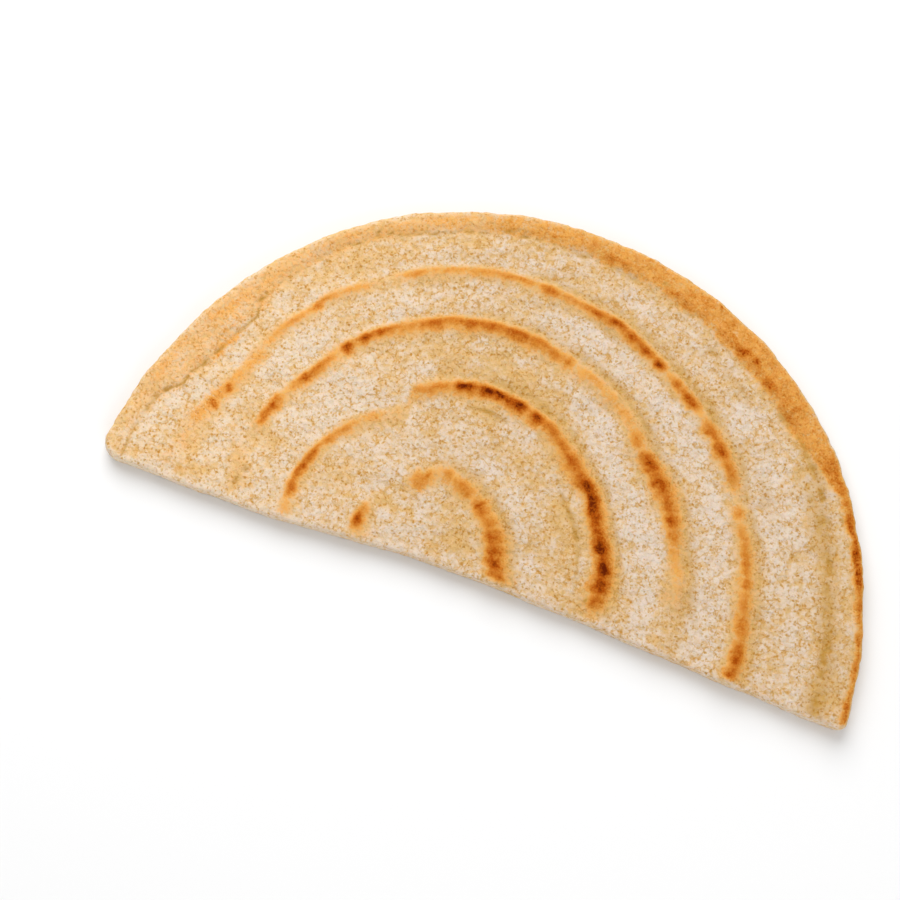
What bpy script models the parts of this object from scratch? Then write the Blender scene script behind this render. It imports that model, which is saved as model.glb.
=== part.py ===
"""Half round of cassava bread (casabe), a flat griddle bread baked in one piece and cut across.

The whole disc is a turned profile, with four ridges and a rolled rim. The ridges
aren't quite concentric, so each ring of the turned disc is then moved to its own
centre, and a cutter with a slightly bowed face takes the front half away.
"""
import math

import bmesh
import bpy
import numpy as np

MM = 0.001

# Whole disc
DISC_RADIUS = 130 * MM
TROUGH_HEIGHT = 6.7 * MM        # top of the crumb between the ridges
CRAG_HEIGHT = 0.22 * MM         # how far the crumb rises and sinks about that
TURN_STEPS = 176                # steps in a full turn

# Ridges. From each crest the inner side slopes gently and the outer side drops.
RIDGE_INNER_WIDTH = 5.0 * MM
RIDGE_OUTER_WIDTH = 3.4 * MM

# The rim's roll, from the crease inside it to the side wall
CREASE_RADIUS = 113 * MM
CREASE_DEPTH = 0.3 * MM
RIM_CREST_RADIUS = 123 * MM
RIM_CREST_HEIGHT = 1.2 * MM     # above the troughs
RIM_SHOULDER_RADIUS = 127.5 * MM

# Underside: flat lands under the ridges, with shallow hollows between them
LAND_HALF_WIDTH = 4.5 * MM
HOLLOW_DEPTH = 0.5 * MM
CENTRE_LAND_RADIUS = 8 * MM
RIM_LAND_INNER_RADIUS = 115 * MM
RIM_LAND_OUTER_RADIUS = 126.5 * MM

# The cut: a bow that lifts the edge near its middle, and rounded corners
CUT_BOW = 4.6 * MM
CUT_BOW_PLACE = -8 * MM
CUT_BOW_LEFT_REACH = 75 * MM
CUT_BOW_RIGHT_REACH = 160 * MM
CUT_WOBBLE = 0.15 * MM
CUT_WOBBLE_LENGTH = 31 * MM
LEFT_CORNER_RADIUS = 6 * MM
RIGHT_CORNER_RADIUS = 3 * MM
CUT_STEP = 4 * MM

# Each ring of the bread, from the middle out: its radius, its centre measured from
# the disc's, how far it waves in and out, how often in a turn, and where a wave peaks
RINGS = [
    {"radius": 22.8, "centre": (-18.3, 8.7), "wave": 0.9, "count": 4, "peak": 0, "height": 0.9},
    {"radius": 52.8, "centre": (-13.0, 10.6), "wave": 1.2, "count": 4, "peak": 0, "height": 1.2},
    {"radius": 74.9, "centre": (-11.9, 11.2), "wave": 1.3, "count": 3, "peak": 105, "height": 1.2},
    {"radius": 95.7, "centre": (-8.7, 9.2), "wave": 1.8, "count": 3, "peak": 110, "height": 1.2},
    {"radius": 113.0, "centre": (-6.9, 6.2), "wave": 0.8, "count": 3, "peak": 95, "height": 0},
    {"radius": 130.0, "centre": (0.0, 0.0), "wave": 0.5, "count": 5, "peak": 50, "height": 0},
]
for ring in RINGS:
    ring["radius"] *= MM
    ring["centre"] = tuple(value * MM for value in ring["centre"])
    ring["wave"] *= MM
    ring["height"] *= MM
RIDGES = [ring for ring in RINGS if ring["height"] > 0]

# Where a ridge fades: ridge number, angle of the gap's middle, half its width, depth 0 to 1
GAPS = [
    (0, 138, 20, 1.0),
    (1, 134, 22, 0.7),
    (2, 174, 14, 0.9),
    (2, 56, 12, 0.5),
    (2, 8, 22, 0.5),
    (3, 153, 9, 0.6),
    (3, 28, 10, 0.4),
]

CRUST_COLOUR = (0.80, 0.55, 0.28, 1.0)
CRUST_ROUGHNESS = 0.85
SEED = 7


def clear_scene():
    for old in list(bpy.data.objects):
        bpy.data.objects.remove(old)


def new_collection(name):
    collection = bpy.data.collections.new(name)
    bpy.context.scene.collection.children.link(collection)
    return collection


def bump(distance, inner, outer):
    """A smooth hump of height 1 at distance 0 that reaches 0 at -inner and at +outer."""
    share = np.where(distance < 0, distance / -inner, distance / outer)
    return 0.5 + 0.5 * np.cos(math.pi * np.clip(share, 0, 1))


def ridge_strength(number, angle):
    """1 along a ridge, less in its gaps. The angle is in radians about the ring's centre."""
    strength = np.ones_like(angle)
    for ridge, middle, half_width, depth in GAPS:
        if ridge == number:
            away = np.remainder(np.degrees(angle) - middle + 180, 360) - 180
            strength = strength - depth * bump(away, half_width, half_width)
    return np.clip(strength, 0, 1)


def ring_place(radius, angle):
    """Where a point of the turned disc goes: centre(radius) + (radius + wave) * direction(angle).

    The centre and the wave run in straight lines between the named rings.
    """
    radii = [0] + [ring["radius"] for ring in RINGS]
    first = RINGS[0]

    def between(values):
        return np.interp(radius, radii, values)

    centre_x = between([first["centre"][0]] + [ring["centre"][0] for ring in RINGS])
    centre_y = between([first["centre"][1]] + [ring["centre"][1] for ring in RINGS])
    wave = np.zeros_like(radius)
    for number, ring in enumerate(RINGS):
        share = between([0] + [float(other == number) for other in range(len(RINGS))])
        peak = math.radians(ring["peak"])
        wave = wave + share * ring["wave"] * np.cos(ring["count"] * (angle - peak))
    reach = radius + wave
    return centre_x + reach * np.cos(angle), centre_y + reach * np.sin(angle)


def crag(x, y):
    """Unevenness of the crumb: a sum of waves 9 to 40 mm long in seeded directions."""
    draw = np.random.default_rng(SEED)
    total = np.zeros_like(x)
    waves = 14
    for _ in range(waves):
        length = draw.uniform(9, 40) * MM
        heading, phase = draw.uniform(0, 2 * math.pi, 2)
        along = x * math.cos(heading) + y * math.sin(heading)
        total += np.sin(2 * math.pi * along / length + phase)
    return CRAG_HEIGHT * total / math.sqrt(waves / 2)


def ridge_relief(radius, angle):
    """Height of the four ridges over the troughs."""
    height = np.zeros_like(radius)
    for number, ring in enumerate(RIDGES):
        section = bump(radius - ring["radius"], RIDGE_INNER_WIDTH, RIDGE_OUTER_WIDTH)
        height = height + ring["height"] * ridge_strength(number, angle) * section
    return height


def top_profile():
    """(radius, height) along the top from the centre to the rim's shoulder, without the ridges."""
    radii = [0, 7 * MM, 13 * MM]
    for ring in RIDGES:
        middle = ring["radius"]
        radii += [middle - RIDGE_INNER_WIDTH, middle - RIDGE_INNER_WIDTH / 2, middle - MM,
                  middle + MM, middle + RIDGE_OUTER_WIDTH]
    for inside, outside in zip(RIDGES, RIDGES[1:]):
        gap = outside["radius"] - inside["radius"]
        parts = 4 if gap > 25 * MM else 2
        start = inside["radius"] + RIDGE_OUTER_WIDTH
        stop = outside["radius"] - RIDGE_INNER_WIDTH
        radii += [start + (stop - start) * part / parts for part in range(1, parts)]
    last = RIDGES[-1]["radius"] + RIDGE_OUTER_WIDTH
    radii += [(last + CREASE_RADIUS - 3 * MM) / 2, CREASE_RADIUS - 3 * MM]
    profile = [(radius, TROUGH_HEIGHT) for radius in sorted(radii)]
    rise = RIM_CREST_HEIGHT
    profile += [
        (CREASE_RADIUS, TROUGH_HEIGHT - CREASE_DEPTH),
        (CREASE_RADIUS + 4 * MM, TROUGH_HEIGHT + 0.55 * rise),
        (RIM_CREST_RADIUS - 2 * MM, TROUGH_HEIGHT + 0.95 * rise),
        (RIM_CREST_RADIUS + 1.5 * MM, TROUGH_HEIGHT + rise),
        (RIM_SHOULDER_RADIUS, TROUGH_HEIGHT + 0.6 * rise),
    ]
    return profile


def side_profile():
    """(radius, height) down the rim's rounded side, from the shoulder to the outer land."""
    return [
        (DISC_RADIUS - 0.7 * MM, 0.85 * TROUGH_HEIGHT),
        (DISC_RADIUS, 0.58 * TROUGH_HEIGHT),
        (DISC_RADIUS - 0.4 * MM, 0.28 * TROUGH_HEIGHT),
        (DISC_RADIUS - 1.6 * MM, 0.07 * TROUGH_HEIGHT),
    ]


def bottom_profile():
    """(radius, height) along the underside, from the outer land back to the centre."""
    lands = [(0, CENTRE_LAND_RADIUS)]
    for ring in RIDGES:
        lands.append((ring["radius"] - LAND_HALF_WIDTH, ring["radius"] + LAND_HALF_WIDTH))
    lands.append((RIM_LAND_INNER_RADIUS, RIM_LAND_OUTER_RADIUS))
    profile = []
    for (inner, outer), (_, next_outer) in zip(reversed(lands), reversed([(0, 0)] + lands[:-1])):
        profile += [(outer, 0), (inner, 0)]
        if next_outer > 0:
            profile.append(((inner + next_outer) / 2, HOLLOW_DEPTH))
    return profile


def turned_disc():
    """The whole disc as one turned body: the profile spun by a Screw modifier, as a mesh."""
    profile = top_profile() + side_profile() + bottom_profile()
    mesh = bpy.data.meshes.new("profile")
    mesh.from_pydata([(radius, 0, height) for radius, height in profile],
                     [(index, index + 1) for index in range(len(profile) - 1)], [])
    turning = bpy.data.objects.new("profile", mesh)
    bpy.context.scene.collection.objects.link(turning)
    screw = turning.modifiers.new("turn", "SCREW")
    screw.steps = screw.render_steps = TURN_STEPS
    screw.use_merge_vertices = True
    screw.merge_threshold = 0.00005
    depsgraph = bpy.context.evaluated_depsgraph_get()
    disc = bpy.data.meshes.new_from_object(turning.evaluated_get(depsgraph))
    bpy.data.objects.remove(turning)
    return disc


def shape_disc(disc):
    """Raises the ridges and the crags on the top, then moves every ring to its own centre."""
    points = np.empty(len(disc.vertices) * 3)
    disc.vertices.foreach_get("co", points)
    points = points.reshape(-1, 3)
    radius = np.hypot(points[:, 0], points[:, 1])
    angle = np.arctan2(points[:, 1], points[:, 0])
    x, y = ring_place(radius, angle)
    top = points[:, 2] > TROUGH_HEIGHT * 0.8
    points[:, 2] += np.where(top, ridge_relief(radius, angle) + crag(x, y), 0)
    points[:, 0], points[:, 1] = x, y
    disc.vertices.foreach_set("co", points.ravel())
    disc.update()


def cut_line(x):
    """How far the cut edge lies from the disc's middle line, for a place x along it."""
    reach = CUT_BOW_LEFT_REACH if x < CUT_BOW_PLACE else CUT_BOW_RIGHT_REACH
    share = min(abs(x - CUT_BOW_PLACE) / reach, 1)
    line = CUT_BOW * (0.5 + 0.5 * math.cos(math.pi * share))
    line += CUT_WOBBLE * math.sin(2 * math.pi * x / CUT_WOBBLE_LENGTH)
    for side, corner in ((-1, LEFT_CORNER_RADIUS), (1, RIGHT_CORNER_RADIUS)):
        past = min(max(side * x - (DISC_RADIUS - corner), 0), corner)
        line += corner - math.sqrt(corner ** 2 - past ** 2)
    return line


def half_cutter(collection):
    """A slab over the half that is cut away, with the cut line as one of its sides."""
    reach = DISC_RADIUS + 10 * MM
    places = list(np.arange(-DISC_RADIUS + 8 * MM, DISC_RADIUS - 5 * MM, CUT_STEP))
    for side, corner in ((-1, LEFT_CORNER_RADIUS), (1, RIGHT_CORNER_RADIUS)):
        places += [side * (DISC_RADIUS - corner * share) for share in (0, 0.03, 0.12, 0.3, 0.6, 1)]
    outline = [(x, cut_line(x)) for x in sorted(places)]
    outline = [(-reach, outline[0][1])] + outline + [(reach, outline[-1][1])]
    outline += [(reach, -reach), (-reach, -reach)]
    curve = bpy.data.curves.new("half_cutter", "CURVE")
    curve.dimensions = "2D"
    curve.fill_mode = "BOTH"
    curve.extrude = 15 * MM
    spline = curve.splines.new("POLY")
    spline.points.add(len(outline) - 1)
    spline.use_cyclic_u = True
    for point, (x, y) in zip(spline.points, outline):
        point.co = (x, y, 0, 1)
    drawn = bpy.data.objects.new("half_outline", curve)
    bpy.context.scene.collection.objects.link(drawn)
    depsgraph = bpy.context.evaluated_depsgraph_get()
    mesh = bpy.data.meshes.new_from_object(drawn.evaluated_get(depsgraph))
    bpy.data.objects.remove(drawn)
    weld(mesh)
    cutter = bpy.data.objects.new("half_cutter", mesh)
    cutter.hide_render = True
    cutter.display_type = "WIRE"
    collection.objects.link(cutter)
    return cutter


def weld(mesh):
    body = bmesh.new()
    body.from_mesh(mesh)
    bmesh.ops.remove_doubles(body, verts=body.verts, dist=0.00001)
    bmesh.ops.recalc_face_normals(body, faces=body.faces)
    body.to_mesh(mesh)
    body.free()


def crust_material():
    material = bpy.data.materials.new("bread_crust")
    material.use_nodes = True
    shader = material.node_tree.nodes["Principled BSDF"]
    shader.inputs["Base Color"].default_value = CRUST_COLOUR
    shader.inputs["Roughness"].default_value = CRUST_ROUGHNESS
    shader.inputs["Metallic"].default_value = 0
    return material


def cut_half(disc, cutter, collection):
    """The half round: the disc less the cutter, as a mesh centred over its footprint."""
    whole = bpy.data.objects.new("whole_disc", disc)
    bpy.context.scene.collection.objects.link(whole)
    cut = whole.modifiers.new("cut", "BOOLEAN")
    cut.operation = "DIFFERENCE"
    cut.object = cutter
    depsgraph = bpy.context.evaluated_depsgraph_get()
    mesh = bpy.data.meshes.new_from_object(whole.evaluated_get(depsgraph))
    bpy.data.objects.remove(whole)
    weld(mesh)
    corners = np.empty(len(mesh.vertices) * 3)
    mesh.vertices.foreach_get("co", corners)
    corners = corners.reshape(-1, 3)
    middle = (corners.min(0) + corners.max(0)) / 2
    corners -= (middle[0], middle[1], corners[:, 2].min())
    mesh.vertices.foreach_set("co", corners.ravel())
    mesh.update()
    half = bpy.data.objects.new("bread_half", mesh)
    collection.objects.link(half)
    half.data.materials.clear()
    half.data.materials.append(crust_material())
    half.data.shade_smooth()
    half.data.set_sharp_from_angle(angle=math.radians(40))
    return half


def main():
    clear_scene()
    parts = new_collection("cassava_bread")
    cutters = new_collection("cutters")
    disc = turned_disc()
    shape_disc(disc)
    cut_half(disc, half_cutter(cutters), parts)


main()
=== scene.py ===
"""Half round of cassava bread: granular crust, toasted ridges and a crumbly cut, on a plain floor.

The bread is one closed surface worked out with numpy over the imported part, which it
replaces. The panel lists every step, and each size or colour that a user would change
is a property.
"""
import math

import bpy
import numpy as np
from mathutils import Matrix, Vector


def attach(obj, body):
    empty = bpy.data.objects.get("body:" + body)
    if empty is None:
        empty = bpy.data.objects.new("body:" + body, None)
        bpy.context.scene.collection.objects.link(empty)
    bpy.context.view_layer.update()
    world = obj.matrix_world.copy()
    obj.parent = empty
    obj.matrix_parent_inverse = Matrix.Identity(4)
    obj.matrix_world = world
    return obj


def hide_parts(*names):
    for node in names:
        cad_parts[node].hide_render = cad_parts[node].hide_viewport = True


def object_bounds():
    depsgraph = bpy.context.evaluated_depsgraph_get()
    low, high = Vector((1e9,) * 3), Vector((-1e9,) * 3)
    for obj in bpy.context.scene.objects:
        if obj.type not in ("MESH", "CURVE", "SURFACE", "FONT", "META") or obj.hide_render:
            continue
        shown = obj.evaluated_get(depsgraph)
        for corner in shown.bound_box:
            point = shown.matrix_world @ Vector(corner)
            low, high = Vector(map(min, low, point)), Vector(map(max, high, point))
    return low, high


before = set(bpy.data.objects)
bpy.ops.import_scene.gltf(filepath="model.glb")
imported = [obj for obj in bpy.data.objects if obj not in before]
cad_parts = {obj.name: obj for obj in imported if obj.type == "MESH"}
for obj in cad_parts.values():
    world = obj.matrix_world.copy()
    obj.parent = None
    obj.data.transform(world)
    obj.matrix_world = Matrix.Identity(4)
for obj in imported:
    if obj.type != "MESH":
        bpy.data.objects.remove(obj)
CAD_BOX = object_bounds()

bl_info = {
    "name": "Cassava Bread Half",
    "version": (1, 0, 0),
    "blender": (4, 5, 0),
    "location": "View3D > Sidebar > Bread",
    "description": "Builds a half round of cassava bread with its crust, ridges and toasted marks",
    "category": "Add Mesh",
}

MM = 0.001
TURN = 2 * math.pi
NODE = "bread_half"
SURFACE_VALUES = ("toast", "crust", "pale", "olive", "hole", "painted_left_light", "clump")     # what the shader reads, 0 to 1

# ---- the bread's form

DISC_RADIUS = 130 * MM
TROUGH_HEIGHT = 6.7 * MM
CRAG_HEIGHT = 0.22 * MM
CRAG_WAVES = 14
CRAG_SEED = 7
PLATEAU_HEIGHT = 0.35 * MM      # of pale clumps over the browner crumb between
HOLLOW_DEPTH = 0.5 * MM         # of the underside, off its lands
RIM_LAND = (0.105, 0.114)       # radii in m between which the hollows rise to the rim's land

# Each ring of the bread, from the middle out, in mm: its radius, its centre's x and y from
# the disc's, how far it waves in and out, how often in a turn, the angle in degrees where
# a wave peaks, and the height of the ridge on it
RINGS = [
    (22.8, -18.3, 8.7, 0.9, 4, 0, 0.9),
    (52.8, -13.0, 10.6, 1.2, 4, 0, 1.2),
    (74.9, -11.9, 11.2, 1.3, 3, 105, 1.2),
    (95.7, -8.7, 9.2, 1.8, 3, 110, 1.2),
    (113.0, -6.9, 6.2, 0.8, 3, 95, 0),
    (130.0, 0.0, 0.0, 0.5, 5, 50, 0),
]
RADII, RING_X, RING_Y, WAVES, WAVE_COUNTS, WAVE_PEAKS, HEIGHTS = np.array(RINGS).T
RADII, RING_X, RING_Y, WAVES, HEIGHTS = (column * MM for column in (RADII, RING_X, RING_Y, WAVES, HEIGHTS))
RIDGE_COUNT = 4
RING_TRIES = 25                 # steps that find a point's ring

RIDGE_INNER_WIDTH = 6.0 * MM
RIDGE_OUTER_WIDTH = 4.2 * MM
RIDGE_WANDER = 0.25 * MM        # how far a ridge's line strays at random
RIDGE_SHARES = [(-0.9, 0.6), (0, 0.85), (0.9, 1.25)]    # of the full height, by the cosine of the angle
RIM_HEIGHT = 1.2 * MM
RIM_RISE = 3.5 * MM             # width of the step up to the rim
RIM_FALL_RADIUS = 126.0 * MM
RIM_ROUNDING = 2.6 * MM
RIM_TAPER = 0.09                # reach in m over which the rim gets half as high to the left
EDGE_WOBBLE = 0.35 * MM

# The crease inside the rim: angle in degrees, radius, half width and depth in mm
RIM_CREASE = [
    (0, 118.8, 2.6, 0.35), (14, 117.5, 2.6, 0.4), (28, 118.6, 2.4, 0.4), (36, 121, 1.8, 0.35),
    (45, 121.3, 1.3, 0.25), (52, 119, 1.2, 0.1), (80, 119.5, 1, 0.1), (93, 120.5, 1, 0.15), (100, 122, 0.8, 0.28),
    (118, 122.4, 0.7, 0.3), (124, 124.3, 0.7, 0.35), (130, 124, 0.7, 0.32), (136, 122.6, 0.7, 0.28),
    (143, 121.2, 0.7, 0.32), (146, 119.7, 0.8, 0.4), (148, 115.8, 0.8, 0.32), (156, 115.2, 0.8, 0.32),
    (160, 116.3, 0.8, 0.4), (165, 117.5, 0.8, 0.36), (168, 121.3, 0.8, 0.36), (174, 122.2, 0.7, 0.3),
    (180, 122.8, 0.7, 0.2),
]

# Holes left by burst bubbles: x and y from the disc's middle, radius and depth, all in mm
HOLES = [
    (-99.3, 68, 0.9, 0.7), (-109, 40.2, 1, 0.6), (-116.8, 27.4, 0.9, 0.5), (-119.5, 24, 0.8, 0.4),
    (-120.5, 19.5, 0.8, 0.4), (-112.5, 30.6, 0.6, 0.3), (37.2, 10.4, 0.8, 0.6), (22, 63.7, 0.7, 0.5),
    (-30, 119.4, 0.9, 0.5), (-43, 114.4, 0.9, 0.5), (-53, 110.3, 0.8, 0.4), (-67, 105.2, 0.9, 0.5),
    (-71, 103.6, 0.8, 0.5), (-82, 12, 1, 0.4), (-83.6, 7.4, 1, 0.4), (-46.5, 65, 0.8, 0.4), (108.2, 48, 0.8, 0.3),
    (117, 23.2, 0.8, 0.4), (118.4, 20.6, 0.6, 0.4), (98, 71.5, 0.8, 0.4), (48.5, 103.6, 1.2, 0.2),
    (61.8, 95.4, 0.9, 0.3), (26, 120.9, 1, 0.3), (-16, 100.2, 0.8, 0.4), (-8.5, 90, 0.6, 0.3), (64, 62, 0.9, 0.3),
    (80.5, 61, 1, 0.2), (104.5, 25, 0.8, 0.2),
]

# Where a ridge fades: ridge number, angle of the gap's middle, half its width, depth 0 to 1
GAPS = [
    (0, 144, 22, 1), (1, 122.5, 4, 0.8), (1, 136, 12, 0.4), (1, -10, 10, 1), (2, 176, 9, 1), (2, 186, 9, 1),
    (2, 57, 6, 0.3), (2, -1, 8, 0.8), (3, 125.5, 4, 0.7), (3, 153.5, 5, 0.5), (3, 176, 12, 0.7), (3, 33, 4, 0.4),
]

# How far each ridge lies outside its ring: angles in degrees, and mm at each
SHIFTS = [
    ([-5, 7, 20, 38, 49, 57, 82, 95, 104, 111], [2, -0.3, 0.2, 0.7, 0, 0.1, -0.2, 1.8, 1, -0.1]),
    ([0, 12, 20, 28, 34, 40, 53, 70, 88, 94, 121, 124, 129, 138, 157, 180],
     [-0.5, 0.1, -0.9, -1.1, -0.6, 0.2, -0.5, 0.3, 0.1, 0.5, 0.8, -4.6, -4.6, -2.6, -1.5, -0.8]),
    ([8, 14, 20, 27, 37, 44, 49, 55, 62, 80, 86, 119, 131, 137, 146, 150, 161, 175],
     [1.2, 0.8, -0.2, 0.3, 0.2, -1, -1.2, 0.4, 0.5, -0.5, 0.2, -0.2, 0.4, 0.3, -0.8, -0.7, 0.6, 1]),
    ([1, 12, 24, 29, 38, 51, 61, 67, 75, 80, 86, 110, 123, 128, 137, 140, 149, 159, 166, 175],
     [0.6, -0.2, 0.3, 0, 1.4, 0.9, 0, 0.1, 0.7, -0.6, -0.9, 0, -0.9, -1, 1.1, -0.2, 0.6, -1.4, -2, 0]),
]

# Folds beside a ridge: ridge number, angle of the middle, half length in degrees,
# distance from the ridge's crest (inwards is less than 0), half width and depth, in mm
FOLDS = [
    (1, 28, 26, -7.2, 0.8, 0.45), (1, 90, 14, -6, 0.8, 0.35), (1, 86, 26, 4.5, 2, 0.15), (1, 22, 16, 5, 0.7, 0.2),
    (3, 76, 7, -4.2, 0.9, 0.2), (3, 52, 8, 4, 1.2, 0.25), (2, 50, 10, 4.5, 1.2, 0.25), (0, 10, 24, 4, 1.4, 0.2),
]

# The cut: a bow that lifts the edge near its middle, and rounded corners
CUT_BOW = 4.6 * MM
CUT_BOW_PLACE = -8 * MM
CUT_BOW_LEFT_REACH = 75 * MM
CUT_BOW_RIGHT_REACH = 160 * MM
CUT_WOBBLE = 0.15 * MM
CUT_WOBBLE_LENGTH = 31 * MM
CUT_ROUNDING = 1.3 * MM
CUT_FOOT = 0.6 * MM             # the same at the cut's lower edge
LEFT_CORNER_RADIUS = 6 * MM
RIGHT_CORNER_RADIUS = 3 * MM
CUT_ENDS = (0.95, 0.995)        # shares of the half disc between which the cut gives way to the rim

# ---- where the bread is toasted

FOOT_TOAST_AND_SHADE = 0.42               # at the foot of the sides, partly toasting and partly painted contact shadow
UNDERSIDE_TOAST = 0.13
LAND_TOAST = 0.38               # more, where the underside lies on the griddle
PALE_TROUGH = 0.56              # paleness of the crumb, 0 to 1
PALE_RIDGE = 0.16
PALE_RISE = 0.4                 # from a ridge to the trough beside it
PALE_FALL = 0.3                 # at the rim
PALE_CLUMPS = 0.24
RIM_TAN = (0.111, 0.119)        # radii in m between which the crumb gets browner
RIM_CRUST = (0.116, 0.122)      # and smoother
PAINTED_LIGHT_REACH = 0.12              # in m, how far to the left the painted light reaches: crumb and toasting painted brighter where the light is stronger

# Each ridge's toasting: the level between its marks, its width as a share of the usual,
# the orange glow of its inner side, and the olive painted shade of its outer side where that faces away from the light
RIDGE_TOASTING = [(0.22, 1.1, 0.20, 0.9), (0.28, 1, 0.22, 1.0), (0.22, 1, 0.20, 0.8), (0.24, 0.85, 0.18, 0.65)]

# The bell's widths in mm inside and outside a ridge, by the cosine of the angle about the rings; the wide outer bell on
# the right partly paints the shade of the ridges' outer sides there
TOAST_WIDTHS = [(-1, 3.0, 2.0), (-0.75, 3.1, 1.9), (0, 3.3, 2.2), (0.85, 3.0, 3.7)]

# Scorch marks along each ridge: angle in degrees about the ridge's centre, half the
# mark's length in degrees, and how dark it is, 0 to 1
SCORCH = [
    [(113, 8, 0.42), (108, 4, 0.5), (92, 6, 0.46), (76, 14, 0.5), (57, 3, 0.7), (53, 13, 0.56), (40, 9, 0.54),
     (27, 10, 0.62), (15, 9, 0.66), (6, 8, 0.74), (-3, 7, 0.6), (179, 9, 0.7), (170, 7, 0.44)],
    [(118, 5, 0.42), (112, 7, 0.5), (90, 16, 0.68), (102, 5, 0.82), (92, 7, 0.93), (82, 4, 0.89), (74, 4, 0.76),
     (68, 7, 0.6), (60, 6, 0.54), (53, 6, 0.64), (36, 20, 0.76), (18, 20, 0.74), (43, 5, 0.84), (37, 5, 0.88),
     (20, 5, 0.84), (12, 4, 0.88), (6, 4, 0.8), (1, 4, 0.6), (138, 8, 0.32), (150, 9, 0.42), (157, 7, 0.48),
     (165, 8, 0.6), (172, 6, 0.68), (179, 5, 0.58)],
    [(86, 5, 0.57), (81, 5, 0.47), (77, 2, 0.5), (70, 6, 0.37), (63, 6, 0.31), (57, 6, 0.31), (50, 4, 0.44),
     (37, 10, 0.6), (42.5, 4, 0.74), (37, 3, 0.7), (31, 4, 0.58), (27, 3, 0.64), (23, 4, 0.5), (19, 4, 0.34),
     (14, 5, 0.3), (105, 22, 0.56), (92, 5, 0.64), (98, 4, 0.66), (104, 5, 0.62), (113, 5, 0.6), (128, 11, 0.56),
     (127.3, 3, 0.66), (131.5, 2.4, 0.68), (136.7, 2, 0.76), (145.4, 2, 0.66), (148, 9, 0.56), (149.7, 3, 0.64),
     (161, 2, 0.66), (162, 5, 0.58), (164.7, 2, 0.62)],
    [(-3, 4, 0.6), (1, 4, 0.68), (6, 5, 0.52), (11, 5, 0.46), (15, 2, 0.54), (20, 8, 0.48), (29, 2, 0.42),
     (38, 5, 0.5), (42.3, 3, 0.68), (46, 4, 0.56), (54, 3, 0.67), (58.2, 1.6, 0.6), (56, 6, 0.52), (63.7, 2, 0.72),
     (69, 7, 0.56), (67, 3, 0.62), (71.4, 2.2, 0.68), (75.4, 3, 0.76), (80, 5, 0.58), (86, 4, 0.46),
     (90.7, 3, 0.56), (97, 7, 0.46), (104, 8, 0.4), (111, 7, 0.37), (118, 4, 0.42), (131, 5, 0.36),
     (138.8, 2, 0.56), (138, 5, 0.46), (145, 6, 0.4), (150, 4, 0.32), (159, 5, 0.3)],
]

# Orange strokes off the ridges: x and y of both ends from the disc's middle and half width in mm, and how dark
STROKES = [
    (-92, 50, -98, 36, 3, 0.3), (-98, 36, -101, 29, 3.2, 0.35), (-101, 29, -104.5, 22, 3.2, 0.3),
    (-104.5, 22, -105.5, 12, 3, 0.2), (-106, 12, -108, 6, 2.8, 0.15), (-98.2, 35.8, -97.6, 34.6, 1.3, 0.62),
    (-101.2, 29.2, -100, 27.8, 1.8, 0.54), (-81.5, 38, -83.6, 28.5, 2, 0.54), (-86, 16, -83, 8, 4, 0.15),
    (-122, 30, -118, 45, 4, 0.24), (-112, 55, -104, 67, 4, 0.26), (-27.4, 27.4, -25.2, 30.4, 3.6, 0.44),
]

# The rim's toasted band: angle, inner and outer radius in mm, and how dark
RIM_BAND = [
    (0, 126.7, 131, 0.6), (12, 127, 131, 0.54), (20, 126.6, 131, 0.64), (33, 126.6, 131, 0.59),
    (39, 123.5, 131, 0.43), (46, 119.5, 131, 0.36), (66, 119.5, 131, 0.36), (72, 120, 131, 0.35),
    (84, 121, 131, 0.31), (95, 121.5, 130, 0.3), (110, 122, 129, 0.25), (125, 122.5, 128.5, 0.22),
    (140, 121, 128.5, 0.2), (148, 115.5, 128, 0.19), (165, 115.5, 127.5, 0.17), (171, 121, 127, 0.14),
    (180, 122, 126, 0.08),
]

# Scorched places on the rim: angle, half length in degrees, radius, half width in mm, darkness
RIM_SCORCH = [
    (64.5, 2, 123.8, 1.8, 0.5), (62, 3, 122.6, 2.6, 0.6), (59, 3, 123.3, 2.4, 0.54), (55, 4, 121.8, 2.8, 0.5),
    (49, 4, 121.3, 2.2, 0.46), (87, 8, 123.4, 3, 0.44), (75, 8, 122.6, 3, 0.42), (81.7, 1, 128.7, 1.2, 0.56),
    (73.6, 1.2, 129.3, 1.2, 0.6), (69, 1, 127.9, 1.2, 0.6), (20, 6, 128.4, 2.6, 0.68), (31, 5, 128.4, 2.4, 0.64),
    (3, 4, 128.6, 2.4, 0.66), (155, 6, 115.2, 2, 0.3), (96, 5, 124.6, 1.6, 0.4), (142, 8, 124, 3, 0.26),
]

# Olive places, partly the crumb's tint and partly painted shade in the rim's crease and outside the outer ridge on the
# right: angle about the disc, half length in degrees, radius, half width in mm, strength
OLIVE = [
    (4, 12, 118.5, 4, 0.85), (18, 10, 117.5, 3.5, 0.85), (31, 9, 118, 3.8, 0.85), (41, 7, 121.5, 3, 0.7),
    (58, 5, 113, 2, 0.5), (24, 5, 118.5, 2.5, 0.6), (38, 7, 103, 3, 0.4), (47, 5, 101, 3, 0.4),
]

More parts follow.
